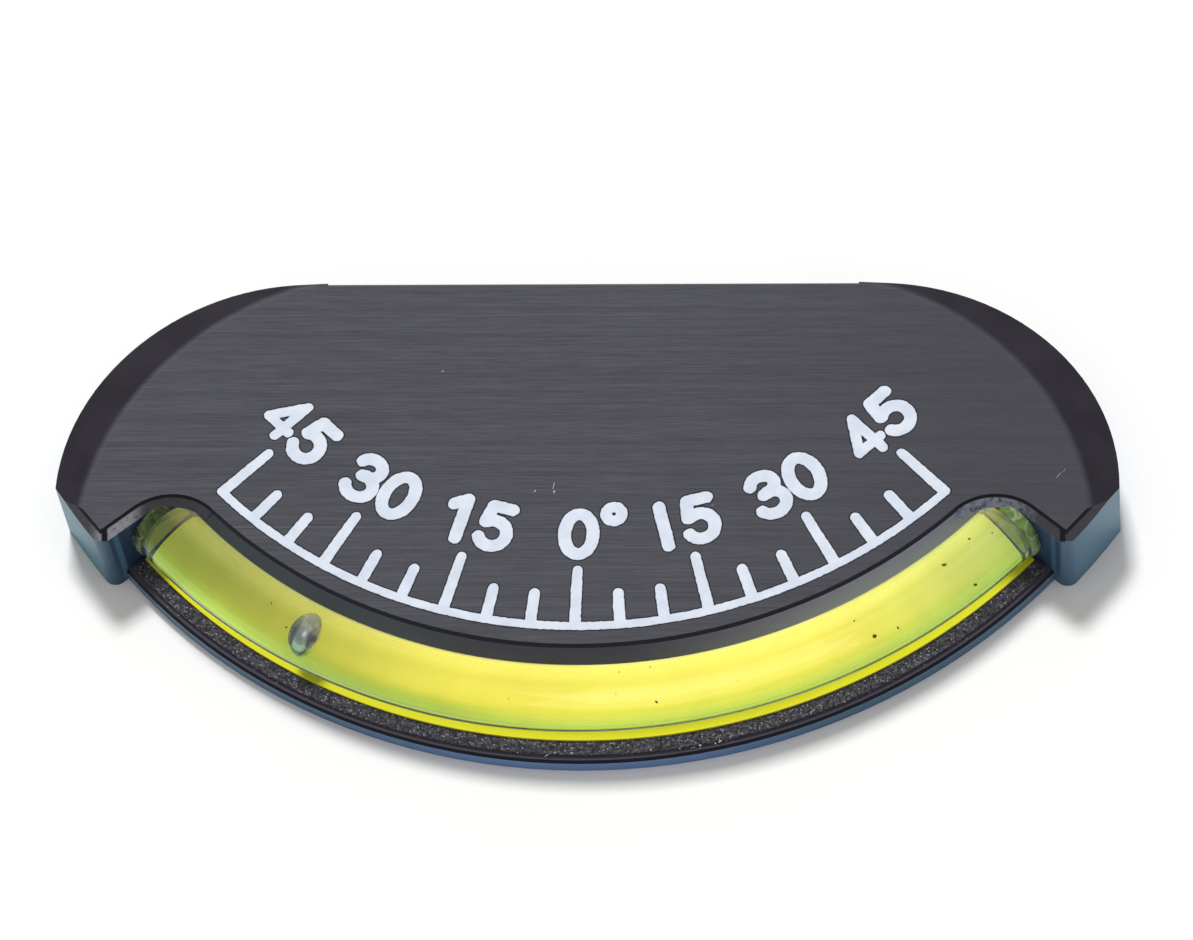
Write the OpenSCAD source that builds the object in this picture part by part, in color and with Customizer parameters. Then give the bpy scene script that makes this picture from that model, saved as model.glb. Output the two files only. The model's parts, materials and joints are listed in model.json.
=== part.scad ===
// Ball-in-tube inclinometer. It is drawn lying on its back: +X runs along the scale, +Y up the dial, and
// +Z is the normal of the face. The origin is in the middle of the back's bounding rectangle.
// Radii are measured from the dial's centre, which lies above the straight top edge.

/* [Housing] */
// Width from side to side
body_w = 101.6; // [98:0.1:106]
// Height from the straight top edge to the lowest point of the rim
body_h = 47.5; // [46:0.1:50]
// Thickness from the back to the brushed face
body_t = 9.8; // [9.6:0.1:12]
// Radius of the two round shoulders
shoulder_r = 21.75; // [19:0.25:24]
// Dial radius of the rim below the tube
rim_r = 59.0; // [58.6:0.1:61]
// How far the two ears stand out beyond the rim
ear_step = 1.8; // [1.4:0.1:3]
// Radius of each ear's upright corner beside the channel
ear_corner_r = 1.2; // [1.1:0.05:1.6]
// Thickness of the shelf under the tube
shelf_t = 1.7; // [1.5:0.1:2]
// Chamfer on the rim of the shelf and on the straight top edge
fine_edge = 0.25; // [0.15:0.05:0.35]

/* [Shoulder facets] */
// Radius of the facet's inner edge on the face
facet_r = 28.9; // [27:0.1:31]
// Width of the facet at the side of the housing
facet_w = 2.9; // [2:0.1:4]
// How far the facet's circle reaches past the straight top edge
facet_over = 0.86; // [0.4:0.02:1.4]
// Slope of the facet below the face, in degrees
facet_slope = 18; // [12:1:24]

/* [Channel] */
// Width of the channel, from its upright wall to the rim
channel_w = 8.15; // [7.6:0.05:8.4]
// Chamfer along the channel's long edge
arc_edge = 0.3; // [0.2:0.05:0.5]
// Dial angle of the channel's ends on the face, in degrees from zero
end_angle = 50; // [49.6:0.1:51]
// Radius of the arches that round the channel's ends on the face
arch_r = 5.7; // [5:0.1:6.2]
// Chamfer along the arches, the channel's ends and the ears' lower edges
end_edge = 0.95; // [0.7:0.05:1]

/* [Scale] */
// Distance from the scale's arc to the channel's wall
scale_margin = 2.15; // [1.5:0.05:3]
// Width of the arc's stroke
arc_stroke = 0.74; // [0.5:0.02:0.9]
// Width of a tick's stroke
tick_stroke = 1.0; // [0.7:0.02:1.2]
// Length of a tick at a numbered angle, from the arc to the middle of its round end
long_tick = 5.84; // [4.5:0.1:7]
// Length of the ticks between
short_tick = 3.28; // [2:0.1:4]
// Largest angle on the scale, in degrees
scale_span = 45; // [30:15:45]
// Angle between two ticks, in degrees
tick_step = 5; // [5:5:15]
// Angle between two numbered ticks, in degrees
label_step = 15; // [15:15:45]
// Depth of the engraving
engrave_depth = 0.35; // [0.2:0.05:0.6]

/* [Tube and ball] */
// Outside diameter of the curved tube
tube_od = 6.35; // [6:0.05:6.5]
// Bore of the tube
bore_d = 3.6; // [3.5:0.05:4.2]
// Diameter of the ball
ball_d = 3.0; // [2.6:0.1:3.1]
// Gap between the tube and the channel's wall
tube_gap = 0.15; // [0.1:0.05:0.3]
// Gap between each end of the tube and the end of the channel
tube_end_gap = 0.4; // [0.3:0.05:0.8]
// Length of the stopper in each end of the bore
plug_len = 0.9; // [0.6:0.05:1.2]
// Dial angle at which the ball rests, in degrees
ball_angle = -28.5; // [-40:0.5:40]

/* [Bedding] */
// Thickness of the grainy strip that beds the tube
strip_t = 0.4; // [0.3:0.05:0.5]
// Ledge of the shelf left bare outside the strip
strip_margin = 0.7; // [0.4:0.05:1]
// Thickness of the bright film between the strip and the tube
film_t = 0.25; // [0.15:0.05:0.3]
// How far the film's outer edge lies under the tube's outer side
film_inset = 0.4; // [0.1:0.05:0.8]
// How far the sealing bead at each end runs back over the tube
bead_len = 2.2; // [1.5:0.1:3]
// Thickness of the sealing bead round the tube
bead_t = 0.8; // [0.5:0.05:1]

/* [Back] */
// Margin of the back round its recess
pad_margin = 3.0; // [2:0.25:5]
// Thickness of the adhesive pad
pad_t = 0.7; // [0.5:0.05:0.8]
// Thickness of the release liner on the pad
liner_t = 0.1; // [0.08:0.02:0.14]

/* [Hidden] */
$fn = 96;

// Clearance between two pieces that are glued or pressed together
seat_gap = 0.03;
// Extra length of a cut beyond the surface that it opens
over = 1;
half_w = body_w / 2;
// The dial's centre and the straight top edge, in the part's own frame
dial_y = rim_r - body_h / 2;
top_y = body_h / 2;
ear_r = rim_r + ear_step;
wall_r = rim_r - channel_w;
scale_r = wall_r - scale_margin;
shoulder_x = half_w - shoulder_r;
shoulder_y = top_y - shoulder_r;
facet_x = half_w - facet_w - facet_r;
facet_y = top_y + facet_over - facet_r;
facet_drop = 3;
// The arch is tangent to the channel's edge line and to the line of the channel's end
edge_r = wall_r - arc_edge;
arch_centre_r = edge_r + arch_r;
arch_angle = end_angle - asin(arch_r / arch_centre_r);
arch_reach = arch_centre_r * cos(end_angle - arch_angle);
// A round cut that blends into flat ones reaches past them by this, so that it crosses them at an angle
edge_bite = 0.015;
channel_reach = channel_w + 2 * ear_step;
lip_z = body_t - end_edge;
// Stack in the channel, from the shelf up
strip_z = shelf_t;
film_z = strip_z + strip_t;
tube_r = tube_od / 2;
tube_z = film_z + film_t + seat_gap + tube_r;
tube_path_r = wall_r + tube_gap + tube_r;
strip_r = rim_r - strip_margin;
film_r = tube_path_r + tube_r - film_inset;
// Angles that arc lengths on the tube's centreline take up
function arc_angle(length) = length / tube_path_r * 180 / PI;
tube_angle = end_angle - arc_angle(end_edge + tube_end_gap);
plug_angle = tube_angle - arc_angle(plug_len);
bead_angle = tube_angle - arc_angle(bead_len);
strip_angle = tube_angle;
film_angle = tube_angle - arc_angle(seat_gap);

// Moves to the dial's centre
module at_dial() {
    translate([0, dial_y, 0]) children();
}

// Revolves a profile about the dial's centre, from one dial angle to another
module sweep(from, to) {
    at_dial() rotate([0, 0, from - 90]) rotate_extrude(angle = to - from) children();
}

// Draws the right half and its mirror image
module both_sides() {
    children();
    mirror([1, 0, 0]) children();
}

// Stands at the right end of the channel, where -Y points along the end line, away from the dial's centre
module at_end() {
    at_dial() rotate([0, 0, end_angle]) children();
}

// Outline of the housing, drawn in by an inset, out to a given dial radius
module outline(inset, reach) {
    intersection() {
        union() {
            for (side = [-1, 1])
                translate([side * shoulder_x, shoulder_y]) circle(r = shoulder_r - inset);
            translate([-shoulder_x, -body_h]) square([2 * shoulder_x, body_h + top_y - inset]);
            translate([inset - half_w, -body_h]) square([body_w - 2 * inset, body_h + shoulder_y]);
        }
        translate([0, dial_y]) circle(r = reach - inset);
    }
}

// Everything beyond a plane parallel to the channel's end line
module beyond_end(offset) {
    at_end() translate([-offset, -2 * ear_r, -over]) cube([ear_r, 2 * ear_r, body_t + 2 * over]);
}

// The channel between its two arches: open from the shelf to the face
module open_channel() {
    sweep(-arch_angle, arch_angle) translate([wall_r, shelf_t]) square([channel_reach, body_t]);
}

// The rest of the channel at its right end, which runs on under the lip
module covered_channel() {
    difference() {
        sweep(arch_angle, end_angle) translate([wall_r, shelf_t]) square([channel_reach, lip_z - shelf_t]);
        beyond_end(end_edge);
    }
}

// The arch that rounds the lip above the tube's right end: a cone that widens to the face
module arch_cut() {
    at_end() translate([-arch_r, -arch_reach, lip_z - end_edge])
        cylinder(h = 3 * end_edge, r1 = arch_r + edge_bite - 2 * end_edge, r2 = arch_r + edge_bite + end_edge);
}

// The opening above the tube beyond the arch, with the chamfer along the channel's straight end
module end_cut() {
    at_end() translate([0, -arch_reach, 0]) rotate([90, 0, 0]) linear_extrude(ear_r)
        polygon([
            [-2 * arch_r, lip_z - end_edge],
            [-end_edge, lip_z - end_edge],
            [-end_edge, lip_z],
            [over, body_t + over],
            [-2 * arch_r, body_t + over]
        ]);
}

// Chamfer along the channel's long edge
module arc_chamfer() {
    sweep(-arch_angle, arch_angle)
        polygon([
            [wall_r + over, body_t - arc_edge - over],
            [edge_r - over, body_t + over],
            [wall_r + over, body_t + over]
        ]);
}

// Chamfer along the lower edge of the right ear: a flat one, so that it narrows away from the channel
module ear_chamfer() {
    at_end() translate([-end_edge - over, 0, 0]) rotate([90, 0, 90]) linear_extrude(ear_r)
        polygon([
            [-ear_r - over, lip_z - over],
            [over + end_edge - ear_r, body_t + over],
            [-ear_r - over, body_t + over]
        ]);
}

// What is cut away to round the right ear's upright corner
module ear_corner_cut() {
    centre_x = ear_corner_r - end_edge;
    centre_y = -sqrt(pow(ear_r - ear_corner_r, 2) - pow(centre_x, 2));
    at_end() translate([centre_x, centre_y, -over]) linear_extrude(body_t + 2 * over) difference() {
        translate([-2 * ear_corner_r, -2 * ear_corner_r]) square(2 * ear_corner_r);
        circle(r = ear_corner_r + edge_bite);
    }
}

// What is cut away beyond the rim between the ears, with the rim's fine chamfer
module rim_cut() {
    difference() {
        sweep(-end_angle, end_angle)
            polygon([
                [rim_r, -over],
                [rim_r + 3 * ear_step, -over],
                [rim_r + 3 * ear_step, body_t + over],
                [rim_r - fine_edge - over, shelf_t + over],
                [rim_r, shelf_t - fine_edge]
            ]);
        both_sides() beyond_end(end_edge);
    }
}

// The sloping facet on a shoulder: all that lies outside a cone
module shoulder_facet() {
    flare = facet_drop / tan(facet_slope);
    lift = over / tan(facet_slope);
    translate([facet_x, facet_y, body_t - facet_drop]) difference() {
        translate([0, -facet_r, 0]) cube([facet_r + flare, 2 * facet_r + flare, facet_drop + over]);
        cylinder(h = facet_drop + over, r1 = facet_r + flare, r2 = facet_r - lift);
    }
}

// Fine chamfer on the straight top edge, which stops just short of the facets
module top_chamfer() {
    reach = facet_x + sqrt(pow(facet_r, 2) - pow(facet_r - facet_over, 2)) - fine_edge;
    translate([reach, top_y, body_t]) rotate([0, -90, 0]) linear_extrude(2 * reach)
        polygon([[-fine_edge - over, over], [over, -fine_edge - over], [over, over]]);
}

// The engraved strokes of the scale, as a flat figure grown or shrunk by an amount
module scale_strokes(grow) {
    arc_w = arc_stroke + 2 * grow;
    tick_w = tick_stroke + 2 * grow;
    cap_angle = asin(tick_w / 2 / scale_r);
    translate([0, dial_y]) {
        intersection() {
            difference() {
                circle(r = scale_r + arc_w / 2, $fn = 180);
                circle(r = scale_r - arc_w / 2, $fn = 180);
            }
            polygon([
                [0, 0],
                2 * scale_r * [-sin(scale_span + cap_angle), -cos(scale_span + cap_angle)],
                [0, -3 * scale_r],
                2 * scale_r * [sin(scale_span + cap_angle), -cos(scale_span + cap_angle)]
            ]);
        }
        for (angle = [-scale_span : tick_step : scale_span]) {
            length = angle % label_step == 0 ? long_tick : short_tick;
            rotate(angle) {
                translate([-tick_w / 2, -scale_r]) square([tick_w, length]);
                translate([0, length - scale_r]) circle(d = tick_w, $fn = 32);
            }
        }
    }
}

module housing() {
    color([0.16, 0.16, 0.18]) difference() {
        linear_extrude(body_t) outline(0, ear_r);
        open_channel();
        arc_chamfer();
        both_sides() {
            covered_channel();
            arch_cut();
            end_cut();
            ear_chamfer();
            ear_corner_cut();
            shoulder_facet();
        }
        rim_cut();
        top_chamfer();
        translate([0, 0, body_t - engrave_depth]) linear_extrude(engrave_depth + over) scale_strokes(seat_gap / 2);
        translate([0, 0, -over]) linear_extrude(over + liner_t + pad_t) outline(pad_margin - seat_gap, rim_r);
    }
}

module bedding_strip() {
    color([0.10, 0.10, 0.11])
        sweep(-strip_angle, strip_angle)
            translate([wall_r + seat_gap, strip_z]) square([strip_r - wall_r - seat_gap, strip_t]);
}

module reflector_film() {
    color([0.95, 0.92, 0.10])
        sweep(-film_angle, film_angle)
            translate([wall_r + seat_gap, film_z]) square([film_r - wall_r - seat_gap, film_t]);
}

module tube() {
    color([0.85, 0.92, 0.45, 0.5])
        sweep(-tube_angle, tube_angle)
            translate([tube_path_r, tube_z]) difference() {
                circle(d = tube_od);
                circle(d = bore_d);
            }
}

module ball() {
    color([0.70, 0.71, 0.72])
        at_dial() rotate([0, 0, ball_angle]) translate([0, -tube_path_r, tube_z]) sphere(d = ball_d);
}

// A stopper in the right end of the bore
module plug() {
    color([0.55, 0.68, 0.35])
        sweep(plug_angle, tube_angle) translate([tube_path_r, tube_z]) circle(d = bore_d - 2 * seat_gap);
}

// The bead of clear sealant round the tube's right end
module seal() {
    bead_top = lip_z - seat_gap;
    color([0.62, 0.75, 0.40, 0.7]) difference() {
        sweep(bead_angle, end_angle) intersection() {
            translate([tube_path_r, tube_z]) circle(r = tube_r + bead_t);
            translate([wall_r + seat_gap, film_z + film_t]) square([tube_od, bead_top - film_z - film_t]);
        }
        beyond_end(end_edge + seat_gap);
        sweep(bead_angle - over, tube_angle + arc_angle(seat_gap))
            translate([tube_path_r, tube_z]) circle(r = tube_r + seat_gap);
    }
}

module scale_infill() {
    color("white")
        translate([0, 0, body_t - engrave_depth]) linear_extrude(engrave_depth) scale_strokes(-seat_gap / 2);
}

module adhesive_pad() {
    color([0.92, 0.92, 0.90])
        translate([0, 0, liner_t]) linear_extrude(pad_t) outline(pad_margin, rim_r);
}

module release_liner() {
    color([0.80, 0.72, 0.50])
        linear_extrude(liner_t) outline(pad_margin, rim_r);
}

housing();
bedding_strip();
reflector_film();
tube();
ball();
mirror([1, 0, 0]) plug();  // plug_left
plug();  // plug_right
mirror([1, 0, 0]) seal();  // seal_left
seal();  // seal_right
scale_infill();
adhesive_pad();
release_liner();
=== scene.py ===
# %% [markdown]
# # A ball inclinometer in Blender
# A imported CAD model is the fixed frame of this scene: every solid is at its real size and place, in metres.
# This lesson dresses it. It keeps the solids whose shape is already right and gives them a finish, and it
# builds new pieces for what a CAD model leaves plain: the bent tube with its fluid, the paint in the
# engraving, the numerals, and the crumbs and specks of a gauge that was put together by hand.

# %% Load the frame
import json
import math
import random

import bpy
import numpy as np
from mathutils import Matrix, Vector, noise


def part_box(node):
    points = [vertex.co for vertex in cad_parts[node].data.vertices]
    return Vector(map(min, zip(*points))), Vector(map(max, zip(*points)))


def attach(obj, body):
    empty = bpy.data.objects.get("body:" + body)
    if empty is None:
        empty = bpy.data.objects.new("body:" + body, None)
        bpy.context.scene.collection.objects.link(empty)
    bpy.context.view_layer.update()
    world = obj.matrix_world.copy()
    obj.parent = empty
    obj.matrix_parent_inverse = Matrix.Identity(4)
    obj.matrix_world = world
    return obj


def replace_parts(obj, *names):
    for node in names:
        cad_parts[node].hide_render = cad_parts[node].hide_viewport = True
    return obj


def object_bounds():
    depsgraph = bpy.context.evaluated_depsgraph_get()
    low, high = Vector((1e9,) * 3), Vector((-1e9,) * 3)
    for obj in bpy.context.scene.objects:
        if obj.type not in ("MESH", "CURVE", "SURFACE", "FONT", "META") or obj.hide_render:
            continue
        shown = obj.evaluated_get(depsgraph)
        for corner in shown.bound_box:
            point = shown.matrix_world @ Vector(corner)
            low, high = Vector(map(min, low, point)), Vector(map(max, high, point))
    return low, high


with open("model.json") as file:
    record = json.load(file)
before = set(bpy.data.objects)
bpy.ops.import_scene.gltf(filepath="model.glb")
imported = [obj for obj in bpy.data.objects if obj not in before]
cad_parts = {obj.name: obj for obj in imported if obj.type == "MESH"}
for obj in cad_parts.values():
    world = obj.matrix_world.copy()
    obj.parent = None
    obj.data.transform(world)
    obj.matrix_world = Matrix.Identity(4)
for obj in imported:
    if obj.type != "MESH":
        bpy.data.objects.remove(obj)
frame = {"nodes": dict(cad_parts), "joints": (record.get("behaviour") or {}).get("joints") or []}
cad_low, cad_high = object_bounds()
node = frame["nodes"]
print("solids:", ", ".join(sorted(node)))

# %% [markdown]
# All places on a dial follow from its centre. The ball turns about that centre, so the joint gives it, and
# the boxes of the ball, the tube and the housing give the rest: the radius of the tube's centreline, the
# tube's diameter, and the height of the face. Only what no box can tell is typed: the radius of the bore
# and the widths of the two kinds of stroke on the scale.

# %% Measure the dial
MM = 0.001
hinge = Vector(frame["joints"][0]["pos_m"])
dial_y = hinge.y
tube_z = hinge.z


def dial_point(angle, radius, z=0.0):
    """A point at a dial angle in degrees, counted from straight down towards +X."""
    turn = math.radians(angle)
    return Vector((radius * math.sin(turn), dial_y - radius * math.cos(turn), z))


ball_low, ball_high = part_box("ball")
tube_low, tube_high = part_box("tube")
ball_middle = (ball_low + ball_high) / 2
tube_size = tube_high - tube_low
path_r = math.hypot(ball_middle.x, ball_middle.y - dial_y)
ball_angle = math.degrees(math.atan2(ball_middle.x, dial_y - ball_middle.y))
tube_r = tube_size.z / 2
bore_r = 1.8 * MM
tube_angle = math.degrees(math.asin(tube_size.x / 2 / (path_r + tube_r)))
face_z = cad_high.z
arc_stroke = 0.74 * MM
tick_stroke = 1.0 * MM
scale_r = dial_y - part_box("scale_infill")[0].y - arc_stroke / 2
print(f"path radius {path_r / MM:.2f} mm, ball at {ball_angle:.1f} degrees, tube to {tube_angle:.1f} degrees")
print(f"scale radius {scale_r / MM:.2f} mm, face at {face_z / MM:.2f} mm")

# %% [markdown]
# ## The camera
# A photograph of a flat thing fixes its own camera: the ticks lie five degrees apart on a known arc, so
# their places in the picture give the direction and the distance. A camera could also be moved by hand
# until it looks right, but a solved one shows at once whether a shape or the view is wrong. The result is a
# long lens from about 0.58 m, 61 degrees above the table and a little from the right, and rolled. Sensor
# and lens are in millimetres, everything else is in metres and radians.

# %% Place the camera
AIM = Vector((1.31, 3.19, 9.8)) * MM
DISTANCE = 584.7 * MM
ELEVATION = math.radians(61.11)
AZIMUTH = math.radians(11.28)
ROLL = math.radians(-9.95)
SENSOR = 36.0
LENS = 185.8

level = math.cos(ELEVATION)
back = Vector((math.sin(AZIMUTH) * level, -math.cos(AZIMUTH) * level, math.sin(ELEVATION)))
right = Vector((math.cos(AZIMUTH), math.sin(AZIMUTH), 0))
up = back.cross(right)
camera_x = right * math.cos(ROLL) + up * math.sin(ROLL)
camera_y = up * math.cos(ROLL) - right * math.sin(ROLL)
camera = bpy.data.objects.new("camera", bpy.data.cameras.new("camera"))
camera.data.sensor_width = SENSOR
camera.data.lens = LENS
camera.data.clip_start = 0.01
camera.data.clip_end = 20
turn = Matrix((camera_x, camera_y, back)).transposed().to_4x4()
camera.matrix_world = Matrix.Translation(AIM + back * DISTANCE) @ turn
bpy.context.scene.collection.objects.link(camera)
bpy.context.scene.camera = camera
print("camera at", [round(c, 4) for c in camera.matrix_world.translation])

# %% [markdown]
# ## Finishes
# A finish is a small program on nodes. Wired by hand it turns into a net of links that nobody can read, so
# a `Signal` wraps one socket and lets ordinary arithmetic add the Math nodes: `1 - mask` is a node, and so
# is `mask * 0.2`.

# %% Arithmetic on sockets
class Signal:
    """A socket that carries a number or a vector; arithmetic on it adds Math nodes."""

    def __init__(self, finish, socket):
        self.finish = finish
        self.socket = socket

    def math(self, operation, *others):
        """The result of one Math node on this socket and others."""
        return self.finish.node("Math", {"operation": operation}, dict(enumerate((self, *others))))["Value"]

    def __add__(self, other):
        return self.math("ADD", other)

    def __radd__(self, other):
        return self.math("ADD", other)

    def __sub__(self, other):
        return self.math("SUBTRACT", other)

    def __rsub__(self, other):
        return (self * -1) + other

    def __mul__(self, other):
        return self.math("MULTIPLY", other)

    def __rmul__(self, other):
        return self.math("MULTIPLY", other)

    def __gt__(self, other):
        return self.math("GREATER_THAN", other)

    def __lt__(self, other):
        return self.math("LESS_THAN", other)

    def __abs__(self):
        return self.math("ABSOLUTE")

    def ramp(self, low, high):
        """0 below low, 1 above high, and a smooth rise between; the other way round where low > high."""
        inputs = {"Value": self, "From Min": low, "From Max": high}
        settings = {"interpolation_type": "SMOOTHSTEP"}
        return self.finish.node("MapRange", settings, inputs)["Result"]


print("socket arithmetic is ready")

# %% [markdown]
# A `Finish` holds one material. Its `node` method makes any node; the other methods are short names for
# what nearly every finish needs: a place on the surface, noise, scattered cells, a blend and a bump.

# %% One material
class Finish:
    """One material with a Principled shader; uniform values go on the shader's own sockets."""

    def __init__(self, name, **uniform):
        self.material = bpy.data.materials.new(name)
        self.material.use_nodes = True
        self.tree = self.material.node_tree
        self.shader = self.tree.nodes["Principled BSDF"]
        for label, value in uniform.items():
            self.shader.inputs[label.replace("_", " ")].default_value = value

    def node(self, kind, settings=None, inputs=None):
        """Any node: its settings are set first, then its sockets get values or links. Gives its outputs."""
        made = self.tree.nodes.new("ShaderNode" + kind)
        for label, value in (settings or {}).items():
            setattr(made, label, value)
        for label, value in (inputs or {}).items():
            self.connect(value, made.inputs[label])
        return {out.name: Signal(self, out) for out in made.outputs if out.enabled}

    def connect(self, value, socket):
        """Links a signal to a socket, or writes a plain number or colour into it."""
        if isinstance(value, Signal):
            self.tree.links.new(value.socket, socket)
        elif isinstance(value, tuple) and len(value) == 3 and socket.type == "RGBA":
            socket.default_value = (*value, 1)
        else:
            socket.default_value = value

    def feed(self, label, value):
        """Gives one of the shader's sockets a value that changes over the surface."""
        self.connect(value, self.shader.inputs[label])

    def place(self):
        """Where a point of the surface is in the object's own frame, in metres."""
        return self.node("TexCoord")["Object"]

    def axes(self, vector):
        """The three numbers of a vector."""
        parts = self.node("SeparateXYZ", None, {"Vector": vector})
        return parts["X"], parts["Y"], parts["Z"]

    def vector(self, x, y, z):
        """Three numbers as one vector."""
        return self.node("CombineXYZ", None, {"X": x, "Y": y, "Z": z})["Vector"]

    def from_centre(self, x, y):
        """The distance of a place from the dial's centre."""
        across = self.vector(x, y - dial_y, 0.0)
        return self.node("VectorMath", {"operation": "LENGTH"}, {0: across})["Value"]

    def grain(self, vector, scale, detail=2.0, roughness=0.5):
        """Soft noise around one half."""
        inputs = {"Vector": vector, "Scale": scale, "Detail": detail, "Roughness": roughness}
        return self.node("TexNoise", None, inputs)["Fac"]

    def cells(self, vector, scale):
        """Distance to the nearest of many scattered points, and that point's own random colour."""
        return self.node("TexVoronoi", None, {"Vector": vector, "Scale": scale})

    def blend(self, mask, low, high, how="MIX"):
        """A colour between two, by a mask from 0 to 1. On a Mix node 0, 6 and 7 are mask and colours."""
        settings = {"data_type": "RGBA", "blend_type": how}
        return self.node("Mix", settings, {0: mask, 6: low, 7: high})["Result"]

    def bump(self, height, distance, strength=1.0):
        """Raises the shading by a height signal; the distance is in metres."""
        inputs = {"Height": height, "Distance": distance, "Strength": strength}
        self.feed("Normal", self.node("Bump", None, inputs)["Normal"])


def cover(piece, finish):
    """Puts one finish on a piece."""
    piece.data.materials.clear()
    piece.data.materials.append(finish.material)


print("the Finish class is ready")

# %% [markdown]
# ## The housing
# The plate is black plastic. Its face was brushed along its length, which leaves fine lines of changing
# grey. The sloping shoulders, the chamfers and the walls were cut, and each kind of cut has its own gloss
# and catches the light in its own way, which is painted into the colour: painted shade on the shoulders and
# in the creases, painted highlights on the chamfers of the arches, and painted blue and grey reflections on
# the walls.
# The direction of the true normal tells them apart: straight up is the face, 18 degrees off is a shoulder,
# 45 degrees is a chamfer, level is a wall. Faces could be picked by hand and given one material each, but a
# new pack of the CAD model would lose that. One material that looks at the tilt keeps working.

# %% Greys and blues of the housing
FACE_GREY = (0.052, 0.053, 0.064)
FACE_LIGHT = (0.102, 0.106, 0.121)
FACE_STREAK = (0.17, 0.175, 0.19)
SHOULDER_SHADE = (0.018, 0.015, 0.023)
# Painted shade of the sloping shoulders.
SHOULDER_SHADE_PALE = (0.025, 0.022, 0.031)
CHAMFER_GREY = (0.052, 0.052, 0.062)
CHAMFER_WORN = (0.088, 0.088, 0.100)
# Painted highlights on the chamfers of the left and the right arch.
ARCH_HIGHLIGHT_LEFT = (0.42, 0.43, 0.47)
ARCH_HIGHLIGHT_RIGHT = (0.30, 0.33, 0.42)
# Painted shade along the creases and on the arc's chamfer.
EDGE_SHADE = (0.006, 0.006, 0.010)
ARC_SHADE = (0.016, 0.016, 0.022)
# Painted reflections on the black walls: navy and teal on the ears, blue on the rim.
NAVY_REFLECTION = (0.030, 0.066, 0.155)
NAVY_REFLECTION_LEFT = (0.020, 0.044, 0.096)
TEAL_REFLECTION = (0.078, 0.190, 0.285)
TEAL_REFLECTION_LEFT = (0.046, 0.190, 0.255)
RIM_REFLECTION = (0.112, 0.215, 0.435)
RIM_REFLECTION_SIDES = (0.058, 0.138, 0.230)
WALL_BACK = (0.024, 0.026, 0.034)
BACK_BLACK = (0.02, 0.02, 0.022)
LIP_BLACK = (0.070, 0.063, 0.090)
# Painted reflections on the channel's walls: dark in the middle, grey towards the right and blue towards the
# left.
CHANNEL_REFLECTION_DARK = (0.074, 0.072, 0.160)
CHANNEL_REFLECTION_GREY = (0.340, 0.335, 0.590)
CHANNEL_REFLECTION_BLUE = (0.095, 0.105, 0.210)
print("named the greys of the face and the blues of the walls")

# %% [markdown]
# Some cuts point the same way and still catch the light differently, and that light is painted too: the
# chamfer of the arc gets painted shade where the arches get painted highlights, and the rim's wall gets a
# bluer painted reflection than the channel's. Their places tell these apart.

# %% Where one cut of the housing ends
RIM_R = dial_y - cad_low.y
ARC_WALL_R = 50.85 * MM
ARC_HALF = 35.4 * MM
CHANNEL_HALF = 40.5 * MM
CHANNEL_TOP_Y = 10 * MM
LIP_TOP_Z = 3 * MM
LEFT_ARCH_X = -44.4 * MM
RIGHT_ARCH_X = 37.6 * MM
EAR_CORNER_X = 45.5 * MM
EAR_WALL_INNER_X = 44.3 * MM
EAR_WALL_OUTER_X = 48.3 * MM
EAR_LOW_Y = -8 * MM
TOP_EDGE_Y = 23.3 * MM
print(f"rim radius {RIM_R / MM:.2f} mm, wall of the arc {ARC_WALL_R / MM:.2f} mm")

# %% [markdown]
# The finish starts from the brushed face and lays one kind of cut after the other over it: the shoulders,
# the lip, the chamfers, the walls and the back. A ramp on the tilt of the surface is the mask each time.

# %% Finish of the housing
def brushed_lines(f, x, y):
    """Fine lines along X, some of them long and pale."""
    fine = f.grain(f.vector(x * 150, y * 6600, 0.0), 1.0, 3.0, 0.8)
    broad = f.grain(f.vector(x * 12, y * 1500, 7.3), 1.0, 2.0)
    pale = f.grain(f.vector(x * 3, y * 2600, 3.1), 1.0, 1.0).ramp(0.66, 0.72)
    return (fine * 0.75 + broad * 0.25).ramp(0.34, 0.66), pale


def chamfer_colours(f, x, y, z, radius, wear_and_sheen):
    """Grey with some wear on most edges, painted highlights on the arches, and painted shade, nearly black,
    along the arc and the creases.
    """
    # Painted highlights on the chamfers of the two arches, mottled by the noise of wear.
    left_arch = abs(x - LEFT_ARCH_X).ramp(2.8 * MM, 0.9 * MM) * wear_and_sheen.ramp(0.25, 0.50)
    right_arch = abs(x - RIGHT_ARCH_X).ramp(6.5 * MM, 2.0 * MM) * wear_and_sheen.ramp(0.30, 0.62)
    chamfer = f.blend(wear_and_sheen.ramp(0.3, 0.7) * 0.5, CHAMFER_GREY, CHAMFER_WORN)
    chamfer = f.blend(left_arch * 0.75, chamfer, ARCH_HIGHLIGHT_LEFT)
    chamfer = f.blend(right_arch * 0.8, chamfer, ARCH_HIGHLIGHT_RIGHT)
    # Painted shade: nearly black where the chamfers meet the face, at the ear corners, on the top edge and on
    # the lip, and darker along the arc.
    crease = z.ramp(face_z - 0.30 * MM, face_z - 0.20 * MM)
    on_arc = (radius < ARC_WALL_R + 0.01 * MM) * (abs(x) < ARC_HALF)
    corner = abs(abs(x) - EAR_CORNER_X).ramp(0.35 * MM, 0.18 * MM) * (y > EAR_LOW_Y)
    chamfer = f.blend(on_arc, chamfer, ARC_SHADE)
    dark = (crease + corner + (y > TOP_EDGE_Y) + (z < LIP_TOP_Z)).math("MINIMUM", 1.0)
    return f.blend(dark * (1 - on_arc), chamfer, EDGE_SHADE)


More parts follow.
